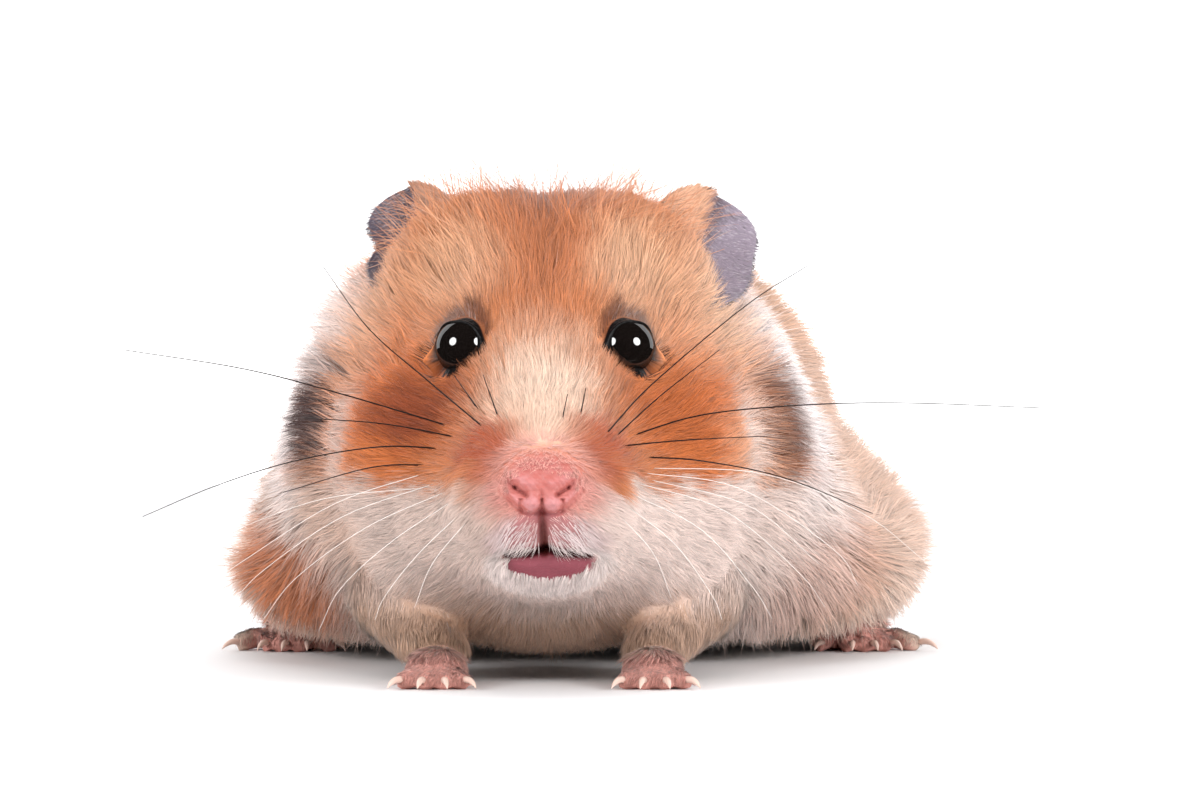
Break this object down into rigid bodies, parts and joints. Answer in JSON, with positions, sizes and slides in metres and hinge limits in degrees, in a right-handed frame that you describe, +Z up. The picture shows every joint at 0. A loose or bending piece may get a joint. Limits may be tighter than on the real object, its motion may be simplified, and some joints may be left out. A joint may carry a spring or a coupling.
{
  "type": "syrian hamster figure",
  "caption": "Life-size still figure of a Syrian hamster crouched on its paws, head forward and mouth slightly open, for display.",
  "frame": {"origin": "centre of the footprint's bounding box, on the floor", "axes": "+Z up, the head faces -Y, +X is the animal's left side"},
  "size_m": [0.0854, 0.1436, 0.0524],
  "materials": {
    "coat_ginger": "soft fur, ginger",
    "coat_tan": "soft fur, tan over grey underfur",
    "coat_white": "soft fur, white",
    "ear_skin": "thin dark grey skin with fine short hair",
    "bare_skin": "bare pink skin, slightly moist on the nose",
    "eyes": "wet glossy black",
    "claws": "translucent pale horn"
  },
  "bodies": {
    "root": {"ear_left": "ear_skin", "ear_right": "ear_skin", "eye_left": "eyes", "eye_right": "eyes", "foreclaw_left_1": "claws", "foreclaw_left_2": "claws", "foreclaw_left_3": "claws", "foreclaw_left_4": "claws", "foreclaw_right_1": "claws", "foreclaw_right_2": "claws", "foreclaw_right_3": "claws", "foreclaw_right_4": "claws", "foreleg_left": "coat_white", "foreleg_right": "coat_white", "forepaw_left": "bare_skin", "forepaw_right": "bare_skin", "head": "coat_ginger", "hindclaw_left_1": "claws", "hindclaw_left_2": "claws", "hindclaw_left_3": "claws", "hindclaw_left_4": "claws", "hindclaw_left_5": "claws", "hindclaw_right_1": "claws", "hindclaw_right_2": "claws", "hindclaw_right_3": "claws", "hindclaw_right_4": "claws", "hindclaw_right_5": "claws", "hindfoot_left": "bare_skin", "hindfoot_right": "bare_skin", "lower_jaw": "coat_white", "muzzle": "coat_white", "neck": "coat_ginger", "nose": "bare_skin", "tail": "bare_skin", "thigh_left": "coat_tan", "thigh_right": "coat_tan", "trunk": "coat_tan"}
  },
  "joints": []
}
